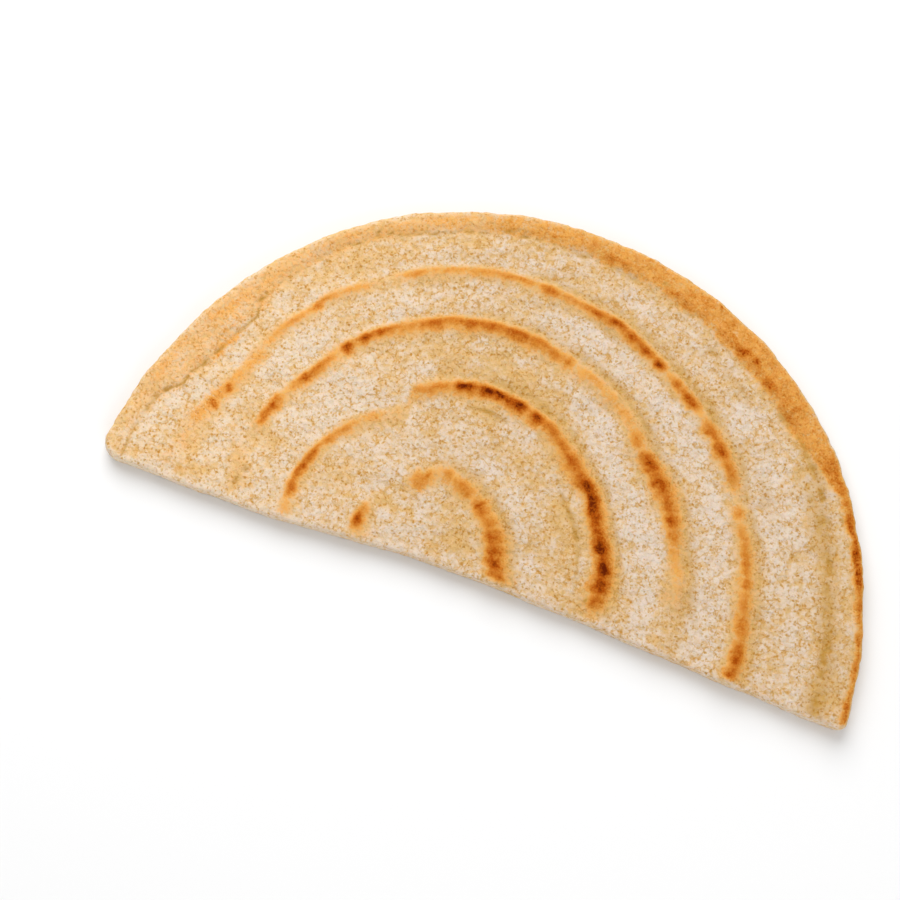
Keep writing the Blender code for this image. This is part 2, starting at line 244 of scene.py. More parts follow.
# Paler or browner patches of crumb: angle about the rings, half length in degrees,
# radius, half width in mm, and the change of paleness
PATCHES = [
    (18, 18, 67, 6, 0.45), (60, 14, 67, 5, 0.25), (90, 22, 62, 8, -0.35), (112, 16, 66, 7, -0.2),
    (150, 16, 61, 7, 0.35), (172, 10, 66, 6, -0.25), (10, 16, 82, 6, 0.08), (34, 8, 82, 5, -0.2),
    (52, 14, 88, 5, 0.25), (75, 10, 84, 6, 0.15), (95, 12, 86, 8, -0.2), (114, 10, 88, 5, -0.05),
    (130, 8, 86, 5, -0.1), (147, 10, 84, 7, 0.5), (170, 10, 84, 6, -0.1), (28, 20, 106, 5, 0.3),
    (6, 9, 104, 6, -0.2), (60, 8, 104, 6, -0.25), (90, 10, 109, 4, 0.05), (108, 14, 103, 7, -0.1),
    (152, 12, 108, 5, 0.45), (172, 14, 112, 7, 0.4), (15, 16, 14, 3, -0.3), (60, 5, 66, 1.2, -0.3),
    (45, 1.6, 83, 1.5, -0.8), (15, 30, 124, 3, 0.05), (35, 60, 11, 10, -0.45), (20, 30, 42, 6, -0.35),
    (44, 14, 32, 5, 0.3), (85, 30, 44, 6, -0.3), (33, 22, 44, 4, -0.45), (86, 24, 59, 4, -0.3),
    (155, 18, 40, 8, -0.18), (10, 14, 31, 4, 0.1),
]

# ---- the crumb's grain

FINE_GRAIN = 0.6 * MM
SPECKLE = 2.2 * MM
BLOTCH = 5 * MM
CREVICE_CELL = 2.6 * MM
CLUMP = 2.8 * MM
DOT_EDGE = 0.16                 # softness of a pore's edge, as a share of the pores' spacing
TOAST_STOPS = (0.18, 0.35, 0.55, 0.75, 0.98)    # how toasted the crumb is at glow, gold, orange, brown and burnt

# ---- the stage

KEY_PLACE = (-0.4, 0.68, 0.87)
FRONT_PLACE = (0.65, -0.9, 0.6)
LAMP_SIZE = 1.2
FLOOR_REACH = 4.0
SENSOR_WIDTH = 36               # in mm
STAGE_LIGHT = 1.15              # how bright a level white surface looks, where 1 is white


# ---- shapes and noise. Every noise has a seed of its own, so that no two line up.

def smooth_step(value, start, stop):
    """0 up to start, 1 from stop on, and 3t^2 - 2t^3 between."""
    share = np.clip((value - start) / (stop - start), 0, 1)
    return share * share * (3 - 2 * share)


def bump(distance, inner, outer):
    """A smooth hump of height 1 at distance 0 that reaches 0 at -inner and at +outer."""
    share = np.where(distance < 0, distance / -inner, distance / outer)
    return 0.5 + 0.5 * np.cos(math.pi * np.clip(share, 0, 1))


def turn_from(degrees, middle):
    """The turn from a middle angle, -180 to 180 degrees."""
    return np.remainder(degrees - middle + 180, 360) - 180


def flat_points(x, y):
    """Points in the plane z = 0."""
    return np.stack([x, y, 0 * x], 1)


def window(away, half, soft):
    """1 within half of the middle, then 0 after a smooth edge as wide as soft."""
    return 1 - smooth_step(np.abs(away), half - soft / 2, half + soft / 2)


def from_table(table, place):
    """The other columns of a table, for places along its first column, in straight lines between its rows."""
    first, *others = np.array(table).T
    return [np.interp(place, first, column) for column in others]


def random_at(cells, seed):
    """A repeatable random number from 0 to 1 for each row of whole numbers: mixed, folded, mixed again."""
    state = np.full(len(cells), seed * 374761393 + 668265263, dtype=np.uint32)
    for column, factor in zip(cells.T, (2654435761, 2246822519, 3266489917)):
        state ^= column.astype(np.int64).astype(np.uint32) * np.uint32(factor)
        state = (state ^ (state >> np.uint32(15))) * np.uint32(2246822519)
        state = (state ^ (state >> np.uint32(13))) * np.uint32(3266489917)
    state ^= state >> np.uint32(16)
    return state / 4294967295.0


def lattice_noise(points, size, seed):
    """Smooth noise from -1 to 1: random values at the corners of cubes, blended by 3t^2 - 2t^3."""
    place = points / size
    low = np.floor(place)
    share = smooth_step(place, low, low + 1)
    total = np.zeros(len(points))
    for corner in np.ndindex(2, 2, 2):
        weight = np.prod(np.where(corner, share, 1 - share), axis=1)
        total += weight * random_at(low + corner, seed)
    return 2 * total - 1


def cell_noise(points, size, seed):
    """Distance to the nearest of scattered seeds, one in each cube of a lattice, and that seed's random number.

    The distance is a share of the cube's side.
    """
    place = points / size
    low = np.floor(place)
    nearest = np.full(len(points), 9.0)
    own = np.zeros(len(points))
    for step in np.ndindex(3, 3, 3):
        cell = low + np.array(step) - 1
        jitter = np.stack([random_at(cell, seed + axis) for axis in range(3)], axis=1)
        away = np.linalg.norm(cell + jitter - place, axis=1)
        closer = away < nearest
        own = np.where(closer, random_at(cell, seed + 3), own)
        nearest = np.where(closer, away, nearest)
    return nearest, own


def ridge_strength(number, angle):
    """1 along a ridge, less in its gaps. The angle is in radians about the ring's centre."""
    strength = np.ones_like(angle)
    for ridge, middle, half_width, depth in GAPS:
        if ridge == number:
            away = turn_from(np.degrees(angle), middle)
            strength = strength - depth * window(away, half_width * 0.75, half_width * 0.6)
    return np.clip(strength, 0, 1)


def from_ridge(number, radius, angle):
    """How far outside a ridge's crest a point lies, for its radius and angle in the rings."""
    degrees = np.degrees(angle)
    degrees = np.where(degrees < -90, degrees + 360, degrees)
    return radius - RADII[number] - MM * np.interp(degrees, *SHIFTS[number])


def each_ridge(radius, angle):
    """For each ridge its number, how far outside its crest each point lies, and its strength there."""
    for number in range(RIDGE_COUNT):
        yield number, from_ridge(number, radius, angle), ridge_strength(number, angle)


def ring_values(radius, angle):
    """Centre x, centre y and wave of the ring at a radius, in straight lines between the named rings."""
    radii = np.append(0, RADII)
    centre_x = np.interp(radius, radii, np.append(RING_X[0], RING_X))
    centre_y = np.interp(radius, radii, np.append(RING_Y[0], RING_Y))
    wave = np.zeros_like(radius)
    for number, (reach, count, peak) in enumerate(zip(WAVES, WAVE_COUNTS, WAVE_PEAKS)):
        share = np.interp(radius, radii, np.append(0, np.eye(len(RINGS))[number]))
        wave = wave + share * reach * np.cos(count * (angle - math.radians(peak)))
    return centre_x, centre_y, wave


def ring_of(x, y):
    """The radius and angle that the turned disc had at a point: |point - centre(radius)| - wave, found by repeating."""
    radius = np.hypot(x, y)
    angle = np.arctan2(y, x)
    for _ in range(RING_TRIES):
        centre_x, centre_y, wave = ring_values(radius, angle)
        radius = np.maximum(np.hypot(x - centre_x, y - centre_y) - wave, 0)
        angle = np.arctan2(y - centre_y, x - centre_x)
    return radius, angle


def rings_at(x, y):
    """A point's radius and angle in the rings, and its radius for the ridges, which stray in and out at random."""
    radius, angle = ring_of(x, y)
    return radius, angle, radius + RIDGE_WANDER * lattice_noise(flat_points(x, y), 9 * MM, 21)


def crag(x, y):
    """Unevenness of the crumb: a sum of waves 9 to 40 mm long in seeded directions."""
    draw = np.random.default_rng(CRAG_SEED)
    total = np.zeros_like(x)
    for _ in range(CRAG_WAVES):
        length = draw.uniform(9, 40) * MM
        heading, phase = draw.uniform(0, TURN, 2)
        along = x * math.cos(heading) + y * math.sin(heading)
        total += np.sin(TURN * along / length + phase)
    return CRAG_HEIGHT * total / math.sqrt(CRAG_WAVES / 2)


def cut_line(x):
    """How far the cut edge lies from the disc's middle line, for places x along it."""
    reach = np.where(x < CUT_BOW_PLACE, CUT_BOW_LEFT_REACH, CUT_BOW_RIGHT_REACH)
    share = np.minimum(np.abs(x - CUT_BOW_PLACE) / reach, 1)
    line = CUT_BOW * (0.5 + 0.5 * np.cos(math.pi * share))
    line = line + CUT_WOBBLE * np.sin(TURN * x / CUT_WOBBLE_LENGTH)
    for side, corner in ((-1, LEFT_CORNER_RADIUS), (1, RIGHT_CORNER_RADIUS)):
        past = np.clip(side * x - (DISC_RADIUS - corner), 0, corner)
        line = line + corner - np.sqrt(corner ** 2 - past ** 2)
    return line


def ridge_relief(radius, angle):
    """Height of the four ridges over the troughs, less on the left, and how ridge-like the surface is, 0 to 1."""
    height = np.zeros_like(radius)
    cover = np.zeros_like(radius)
    for number, distance, strength in each_ridge(radius, angle):
        section = bump(distance, RIDGE_INNER_WIDTH, RIDGE_OUTER_WIDTH) * strength
        height = height + HEIGHTS[number] * section * from_table(RIDGE_SHARES, np.cos(angle))[0]
        cover = np.maximum(cover, section)
    return height, cover


def folds(radius, angle):
    """How far inside a fold beside a ridge each point lies, 0 to 1, and the fold's depth there."""
    inside = np.zeros_like(radius)
    depth = np.zeros_like(radius)
    for number, middle, half_length, offset, half_width, deep in FOLDS:
        away = turn_from(np.degrees(angle), middle)
        share = bump(away, half_length, half_length) ** 0.5
        distance = radius - RADII[number] - offset * MM
        share = share * np.exp(-(distance / (half_width * MM)) ** 2)
        inside = np.maximum(inside, share * min(1, deep * 3))
        depth = np.maximum(depth, deep * MM * share)
    return inside, depth


def rim_crease(x, y):
    """The crease inside the rim, 0 to 1 across its width, its depth, and the rise from it to the rim, 0 to 1."""
    points = flat_points(x, y)
    radius = np.hypot(x, y) + 0.5 * MM * lattice_noise(points, 4 * MM, 41)
    line, half_width, depth = [column * MM for column in from_table(RIM_CREASE, np.degrees(np.arctan2(y, x)))]
    groove = bump(radius - line, half_width * 1.3, half_width * 1.1)
    broken = np.clip(0.6 + 0.8 * lattice_noise(points, 3.5 * MM, 43), 0, 1.3)
    rise = smooth_step(radius, line, line + RIM_RISE)
    return groove, depth * broken, rise


def rim_relief(x, y):
    """The rim's roll: down into the crease, up to the crest, and down to the shoulder at the edge."""
    groove, depth, rise = rim_crease(x, y)
    fall = smooth_step(np.hypot(x, y), RIM_FALL_RADIUS, DISC_RADIUS)
    height = RIM_HEIGHT * (1 - 0.5 * smooth_step(-x, 0.0, RIM_TAPER))
    return height * (rise - 0.5 * fall) - groove * depth


def hole_cover(x, y):
    """How far inside a hole each point lies, 0 to 1, and how deep it is there.

    A hole is a bell, longer round the disc than outwards, with its edge moved by noise.
    """
    flat = flat_points(x, y)
    x = x + 0.7 * MM * lattice_noise(flat, 1.6 * MM, 45)
    y = y + 0.7 * MM * lattice_noise(flat, 1.6 * MM, 46)
    inside = np.zeros_like(x)
    depth = np.zeros_like(x)
    for hole_x, hole_y, radius, hole_depth in HOLES:
        out = math.hypot(hole_x, hole_y)
        right, up = x - hole_x * MM, y - hole_y * MM
        across = (right * hole_x + up * hole_y) / out
        along = (up * hole_x - right * hole_y) / out
        share = np.exp(-(across ** 2 + (along / 1.6) ** 2) / (radius * 0.8 * MM) ** 2)
        inside = np.maximum(inside, share * min(1, hole_depth * 1.6 + 0.1))
        depth = depth + hole_depth * 0.4 * MM * share
    return inside, depth


def place_marks(marks, radius, degrees):
    """Each mark's level at a point: strongest in its middle, fading with angle and with radius."""
    for middle, half_angle, mark_radius, half_width, level in marks:
        share = bump(degrees - middle, half_angle * 1.4, half_angle * 1.4)
        share = share * np.exp(-((radius - mark_radius * MM) / (half_width * MM)) ** 2)
        yield level * share


def paleness(x, y, ring_radius, ring_angle):
    """How pale the crumb is, 0 to 1: more in the troughs than by the ridges, changed by patches and clumps.

    Outside a ridge it rises at once on the left and slowly on the right, where the slow rise paints the shade of the
    ridges' outer sides. The clumps are noise of three sizes, each weaker than the last.
    """
    level = np.full_like(x, PALE_TROUGH)
    right = smooth_step(np.cos(ring_angle), -0.6, 0.6)
    for _, distance, _ in each_ridge(ring_radius, ring_angle):
        inside = smooth_step(-distance, 2.5 * MM, 6.5 * MM)
        outside = smooth_step(distance, 1.0 * MM, 3 * MM + 4.5 * MM * right)
        level = np.minimum(level, PALE_RIDGE + PALE_RISE * np.where(distance < 0, inside, outside))
    for change in place_marks(PATCHES, ring_radius, np.degrees(ring_angle)):
        level = level + change
    level = level - PALE_FALL * smooth_step(np.hypot(x, y), *RIM_TAN)
    flat = flat_points(x, y)
    clumps = (lattice_noise(flat, 8 * MM, 51) + 0.6 * lattice_noise(flat, 3.4 * MM, 52)
              + 0.45 * lattice_noise(flat, 1.5 * MM, 53))
    return np.clip(level + PALE_CLUMPS * clumps, 0.0, 1.0)


# ---- meshes

def half_disc_grid(count):
    """A grid of (2 count + 1) by (count + 1) points over the upper half of the unit disc.

    A half square is drawn out into a half disc: a point on the square ring of half-side r
    goes to radius r, and its angle grows evenly along that ring.
    Returns each point's radius and angle, and the grid's point numbers.
    """
    across = np.linspace(-1, 1, 2 * count + 1)
    up = np.linspace(0, 1, count + 1)
    a, b = np.meshgrid(across, up)
    side = np.abs(a) >= b
    radius = np.where(side, np.abs(a), b)
    safe = np.where(radius > 0, radius, 1)
    slope = np.where(side, b / safe, a / safe)
    angle = np.where(side, math.pi / 4 * slope, math.pi / 2 - math.pi / 4 * slope)
    angle = np.where(side & (a < 0), math.pi - angle, angle)
    return radius.ravel(), angle.ravel(), np.arange(a.size).reshape(a.shape)


def border_loop(numbers):
    """Point numbers round a grid's border: along the cut from left to right, then back round the rim."""
    return np.concatenate([numbers[0, :-1], numbers[:-1, -1], numbers[-1, :0:-1], numbers[:0:-1, 0]])


def grid_quads(numbers):
    """The grid's cells as quads, anticlockwise from above."""
    return np.stack([numbers[:-1, :-1], numbers[:-1, 1:], numbers[1:, 1:], numbers[1:, :-1]], axis=-1).reshape(-1, 4)


def plan_of(radius, angle, rim_inset, cut_inset):
    """Where a half disc's point lies in plan, with its border drawn in from the rim and from the cut.

    The angle is squeezed to leave out the rounded corners, the radius is stretched to the
    waved rim, and the straight edge is bent onto the cut line, less and less inwards.
    """
    across = radius * np.cos(angle)
    up = radius * np.sin(angle)
    right = math.asin(RIGHT_CORNER_RADIUS / DISC_RADIUS)
    left = math.asin(LEFT_CORNER_RADIUS / DISC_RADIUS)
    turned = right + angle / math.pi * (math.pi - right - left)
    reach = DISC_RADIUS + WAVES[-1] * np.cos(WAVE_COUNTS[-1] * (turned - math.radians(WAVE_PEAKS[-1])))
    round_it = np.stack([np.cos(turned), np.sin(turned), 0 * turned], 1) * DISC_RADIUS
    reach = reach + EDGE_WOBBLE * (lattice_noise(round_it, 7 * MM, 61) + 0.6 * lattice_noise(round_it, 2.5 * MM, 62))
    x = radius * reach * np.cos(turned)
    y = radius * reach * np.sin(turned)
    ray = np.abs(x) * np.where(x > 0, math.tan(right), math.tan(left))
    highest = np.sqrt(np.maximum(1 - across ** 2, 1e-9))
    nearness = np.where(up <= 0, 1, np.clip(1 - up / highest, 0, 1))
    y = y + (cut_line(x) - ray) * nearness ** 2
    to_rim = smooth_step(radius, 0.85, 1.0)
    to_cut = nearness ** 4 * (1 - smooth_step(np.abs(across), *CUT_ENDS))
    x = x - to_rim * rim_inset * np.cos(turned)
    y = y - to_rim * rim_inset * np.sin(turned) + to_cut * cut_inset
    return x, y


def add_object(name, data):
    """Puts an object with this data in the scene."""
    made = bpy.data.objects.new(name, data)
    bpy.context.scene.collection.objects.link(made)
    return made


def mesh_from_arrays(name, points, quads, triangles=()):
    """A mesh object from arrays of points, quads and triangles, shaded smooth."""
    mesh = bpy.data.meshes.new(name)
    mesh.from_pydata(points.tolist(), [], [*np.array(quads).tolist(), *np.array(triangles).tolist()])
    mesh.validate()
    mesh.shade_smooth()
    return add_object(name, mesh)


def point_normals(points, quads, triangles):
    """Each point's outward direction: the sum of the crossed diagonals or sides of its faces, made unit length."""
    total = np.zeros_like(points)
    for faces, (a, b, c, d) in ((quads, (2, 0, 3, 1)), (triangles, (1, 0, 2, 0))):
        crossed = np.cross(points[faces[:, a]] - points[faces[:, b]], points[faces[:, c]] - points[faces[:, d]])
        for corner in faces.T:
            for axis in range(3):
                total[:, axis] += np.bincount(corner, crossed[:, axis], len(points))
    return total / np.maximum(np.linalg.norm(total, axis=1, keepdims=True), 1e-12)


def bread_surface(grid_count, wall_rows):
    """The bread's smooth closed form.

    Top and underside are half disc grids. The wall joins their borders: each row of it
    turns by an even angle from the top to the underside, out and down by powers of the
    angle's sine and cosine, rounder at the rim and squarer at the cut.
    Returns points, quads, triangles, each point's zone (0 on the top, then the wall's row,
    and one more on the underside), and how far it belongs to the cut, 0 to 1.
    """
    radius, angle, numbers = half_disc_grid(grid_count)
    x, y = plan_of(radius, angle, RIM_ROUNDING, CUT_ROUNDING)
    ring_radius, ring_angle, strayed = rings_at(x, y)
    relief, cover = ridge_relief(strayed, ring_angle)
    _, hole_depth = hole_cover(x, y)
    pale = paleness(x, y, ring_radius, ring_angle)
    _, fold_depth = folds(strayed, ring_angle)
    height = TROUGH_HEIGHT + relief + rim_relief(x, y) + crag(x, y) - hole_depth - fold_depth
    height = height + PLATEAU_HEIGHT * (pale - 0.5) * (1 - cover)
    top_points = np.stack([x, y, height], axis=1)

    loop = border_loop(numbers)
    rim_radius, rim_angle = radius[loop], angle[loop]
    across = np.abs(rim_radius * np.cos(rim_angle))
    on_cut = np.where(rim_radius * np.sin(rim_angle) < 1e-6, 1 - smooth_step(across, *CUT_ENDS), 0)
    rounding = 0.8 - 0.45 * on_cut
    walls = []
    for row in range(1, wall_rows + 1):
        turn = math.pi * row / (wall_rows + 1)
        out = math.sin(turn) ** rounding
        up = np.sign(math.cos(turn)) * abs(math.cos(turn)) ** rounding
        cut_inset = (CUT_ROUNDING if turn < math.pi / 2 else CUT_FOOT) * (1 - out)
        wall_x, wall_y = plan_of(rim_radius, rim_angle, RIM_ROUNDING * (1 - out), cut_inset)
        walls.append(np.stack([wall_x, wall_y, height[loop] * (0.5 + 0.5 * up)], axis=1))

    low_radius, low_angle, low_numbers = half_disc_grid(grid_count // 2)
    low_x, low_y = plan_of(low_radius, low_angle, RIM_ROUNDING, CUT_FOOT)
    low_ring, low_turn = ring_of(low_x, low_y)
    _, low_cover = ridge_relief(low_ring, low_turn)
    hollow = HOLLOW_DEPTH * (1 - np.maximum(smooth_step(low_cover, 0, 0.5), smooth_step(low_ring, *RIM_LAND)))
    low_points = np.stack([low_x, low_y, hollow], axis=1)

    points = np.concatenate([top_points] + walls + [low_points])
    count = len(loop)
    rows = [loop] + [len(top_points) + count * row + np.arange(count) for row in range(wall_rows)]
    quads = [grid_quads(numbers)]
    for upper, lower in zip(rows, rows[1:]):
        quads.append(np.stack([upper, lower, np.roll(lower, -1), np.roll(upper, -1)], axis=1))
    first_low = len(points) - len(low_points)
    quads.append(grid_quads(low_numbers)[:, ::-1] + first_low)
    low_loop = border_loop(low_numbers) + first_low
    upper = rows[-1]
    even, odd, after = upper[0::2], upper[1::2], np.roll(upper, -1)[1::2]
    triangles = np.concatenate([
        np.stack([even, low_loop, odd], axis=1),
        np.stack([odd, low_loop, np.roll(low_loop, -1)], axis=1),
        np.stack([odd, np.roll(low_loop, -1), after], axis=1),
    ])
    zone = np.repeat(np.arange(wall_rows + 2.0), [len(top_points)] + [count] * wall_rows + [len(low_points)])
    cut = np.zeros(len(points))
    for row in rows:
        cut[row] = on_cut
    return points, np.concatenate(quads), triangles, zone, cut


def toast_map(x, y, strayed, ring_angle):
    """How toasted the top is, 0 to 1.

    Along each ridge the strongest mark counts, fading to both sides as a bell whose widths
    depend on the side of the bread, over a glow that reaches further inwards than outwards.
    Its place, width and strength are stirred by noise. Strokes, the rim's band and the
    rim's marks are added in the same way.
    """
    flat = flat_points(x, y)
    stir = lattice_noise(flat, 5 * MM, 72)
    small = lattice_noise(flat, 1.8 * MM, 73) + 0.5 * lattice_noise(flat, 1.0 * MM, 75)
    toast = np.zeros_like(x)
    degrees = np.degrees(ring_angle)
    inner_width, outer_width = [width * MM for width in from_table(TOAST_WIDTHS, np.cos(ring_angle))]
    for number, distance, strength in each_ridge(strayed, ring_angle):
        level, share_of_width, glow, _ = RIDGE_TOASTING[number]
        along = level * strength
        for middle, half_length, dark in SCORCH[number]:
            share = bump(turn_from(degrees, middle), half_length * 1.5, half_length * 1.5)
            along = np.maximum(along, dark * share ** 0.6)
        distance = distance + 0.35 * MM * small + 0.2 * MM * stir
        wide = (1 + 0.2 * stir) * share_of_width
        width = np.where(distance < 0, inner_width, outer_width) * wide * (1 - 0.16 * smooth_step(along, 0.6, 0.95))
        toast = np.maximum(toast, along * (1 + 0.1 * small) * np.exp(-(np.abs(distance) / width) ** 1.8))
        spread = np.where(distance < 0, 4.4 * MM, 3.0 * MM) * wide
        toast = np.maximum(toast, (glow + 0.08 * stir) * strength * np.exp(-(distance / spread) ** 2))
    for start_x, start_y, stop_x, stop_y, half, level in STROKES:
        way_x, way_y = (stop_x - start_x) * MM, (stop_y - start_y) * MM
        share = ((x - start_x * MM) * way_x + (y - start_y * MM) * way_y) / (way_x ** 2 + way_y ** 2)
        share = np.clip(share, 0, 1)
        away = np.hypot(x - start_x * MM - share * way_x, y - start_y * MM - share * way_y)
        away = away + half * (0.2 * stir + 0.15 * small) * MM
        toast = np.maximum(toast, level * np.exp(-(away / (half * MM)) ** 2))
    radius, turn = np.hypot(x, y), np.degrees(np.arctan2(y, x))
    radius = radius + 0.8 * MM * lattice_noise(flat, 3 * MM, 71)
    inner, outer, level = from_table(RIM_BAND, turn)
    middle, half = (inner + outer) / 2 * MM, (outer - inner) / 2 * MM
    band = level * (1 + 0.15 * stir + 0.15 * small) * window(radius - middle, half, 3.0 * MM)
    toast = np.maximum(toast, band)
    for mark in place_marks(RIM_SCORCH, radius, turn):
        toast = np.maximum(toast, mark * (1 + 0.15 * small))
    return np.clip(toast, 0, 1)


def olive_map(x, y, strayed, ring_angle):
    """Where the crumb looks olive, partly its tint and partly painted shade: the rim's crease, folds, the named places,
    and the right ridges' outer sides, which are painted shade alone.
    """
    groove, depth, _ = rim_crease(x, y)
    olive = groove * np.clip(depth / (0.28 * MM), 0, 1)
    inside, _ = folds(strayed, ring_angle)
    flat = flat_points(x, y)
    olive = np.maximum(olive, inside * np.clip(0.75 + 0.5 * lattice_noise(flat, 3 * MM, 74), 0, 1))
    for mark in place_marks(OLIVE, np.hypot(x, y), np.degrees(np.arctan2(y, x))):
        olive = np.maximum(olive, mark)
    # painted shade: olive on the ridges' outer sides that face right, away from the light
    away_from_light = smooth_step(np.cos(ring_angle - math.radians(15)), -0.5, 0.9)
    for number, distance, strength in each_ridge(strayed, ring_angle):
        outside = bump(distance - 3.6 * MM, 3 * MM, 4.5 * MM) * strength
        olive = np.maximum(olive, RIDGE_TOASTING[number][-1] * away_from_light * outside)
    return olive


def operator_pair(operation):
    """An operator's two methods, for a wire on its left and for a wire on its right."""
    return (lambda wire, other: wire.math(operation, wire, other),
            lambda wire, other: wire.math(operation, other, wire))


class Wire:
    """A socket's value that can be used in sums: + - * add Math nodes to its tree."""

    def __init__(self, tree, socket):
        self.tree = tree
        self.socket = socket

    def math(self, operation, *values, clamp=False):
        return add_node(self.tree, "ShaderNodeMath", 0, {"operation": operation, "use_clamp": clamp}, values)

    __add__, __radd__ = operator_pair("ADD")
    __sub__, __rsub__ = operator_pair("SUBTRACT")
    __mul__, __rmul__ = operator_pair("MULTIPLY")

    def clamped(self):
        return self.math("ADD", self, 0.0, clamp=True)

    def ramp(self, start, stop):
        """0 at start and 1 at stop, smooth between."""
        return add_node(self.tree, "ShaderNodeMapRange", 0, {"interpolation_type": "SMOOTHSTEP"}, (self, start, stop))


def plug(tree, socket, value):
    """Links a wire to a socket, or sets the socket to a plain value, or leaves it for None."""
    if isinstance(value, Wire):
        tree.links.new(value.socket, socket)
    elif value is not None:
        socket.default_value = value


def set_stops(ramp, stops):
    """Gives a colour ramp its stops, each a position and a colour. A new ramp has two already."""
    for number, (position, colour) in enumerate(stops):
        stop = ramp.elements[number] if number < 2 else ramp.elements.new(position)
        stop.position = position
        stop.color = colour


def add_node(tree, kind, output, settings, values=(), **sockets):
    """Adds a node: its settings or stops first, then its sockets, in order or by name. Gives one of its outputs."""
    made = tree.nodes.new(kind)
    for key, value in settings.items():
        if key == "stops":
            set_stops(made.color_ramp, value)
        else:
            setattr(made, key, value)
    for socket, value in zip(made.inputs, values):
        plug(tree, socket, value)
    for key, value in sockets.items():
        plug(tree, made.inputs[key], value)
    return Wire(tree, made.outputs[output])


class Shader:
    """One material's node tree, with a method for any node and one for each kind used often."""

    def __init__(self, name):
        self.material = bpy.data.materials.new(name)
        self.material.use_nodes = True
        self.tree = self.material.node_tree

    def finish(self, values):
        """Links or sets the surface's inputs by their names, and gives the material."""
        for name, value in values.items():
            plug(self.tree, self.tree.nodes["Principled BSDF"].inputs[name], value)
        return self.material

    def node(self, kind, output, settings, values=(), **sockets):
        return add_node(self.tree, kind, output, settings, values, **sockets)

    def mix(self, factor, first, second, blend="MIX"):
        return self.node("ShaderNodeMix", 2, {"data_type": "RGBA", "blend_type": blend},
                         (factor, *[None] * 5, first, second))

    def vector(self, operation, *values):
        return self.node("ShaderNodeVectorMath", 0, {"operation": operation}, values)

    def grey(self, red, green, blue):
        """A tint near white from three numbers."""
        return self.node("ShaderNodeCombineColor", 0, {}, (red, green, blue))

    def noise(self, place, size, detail=2.0, roughness=0.5):
        """Noise with features of a size in metres, about 0.5."""
        return self.node("ShaderNodeTexNoise", "Fac", {}, Vector=place, Scale=1 / size,
                         Detail=detail, Roughness=roughness)

    def bend(self, place, size, amount):
        """A place moved by noise of a size, by up to half the amount each way."""
        stir = self.node("ShaderNodeTexNoise", "Color", {}, Vector=place, Scale=1 / size, Detail=1.0)
        centred = self.vector("SUBTRACT", stir, (0.5, 0.5, 0.5))
        return self.vector("MULTIPLY_ADD", centred, (amount,) * 3, place)

    def dots(self, place, size, least, more):
        """Soft dots, 1 in the middle, about scattered points a size apart.

        A dot's radius is least, and up to more on top by the point's random number, in sizes.
        """
        away = self.node("ShaderNodeTexVoronoi", "Distance", {}, Vector=place, Scale=1 / size)
        own = Wire(self.tree, away.socket.node.outputs["Color"])
        radius = self.node("ShaderNodeSeparateColor", 0, {}, (own,)) * more + least
        return 1 - away.ramp(radius * 0.5, radius + DOT_EDGE)


def colour_of(display):
    """A colour as it looks in the stage's light, 0 to 255, as the shader's linear colour."""
    def linear(value):
        value /= 255
        return (value / 12.92 if value <= 0.04045 else ((value + 0.055) / 1.055) ** 2.4) / STAGE_LIGHT
    return tuple(linear(value) for value in display) + (1.0,)


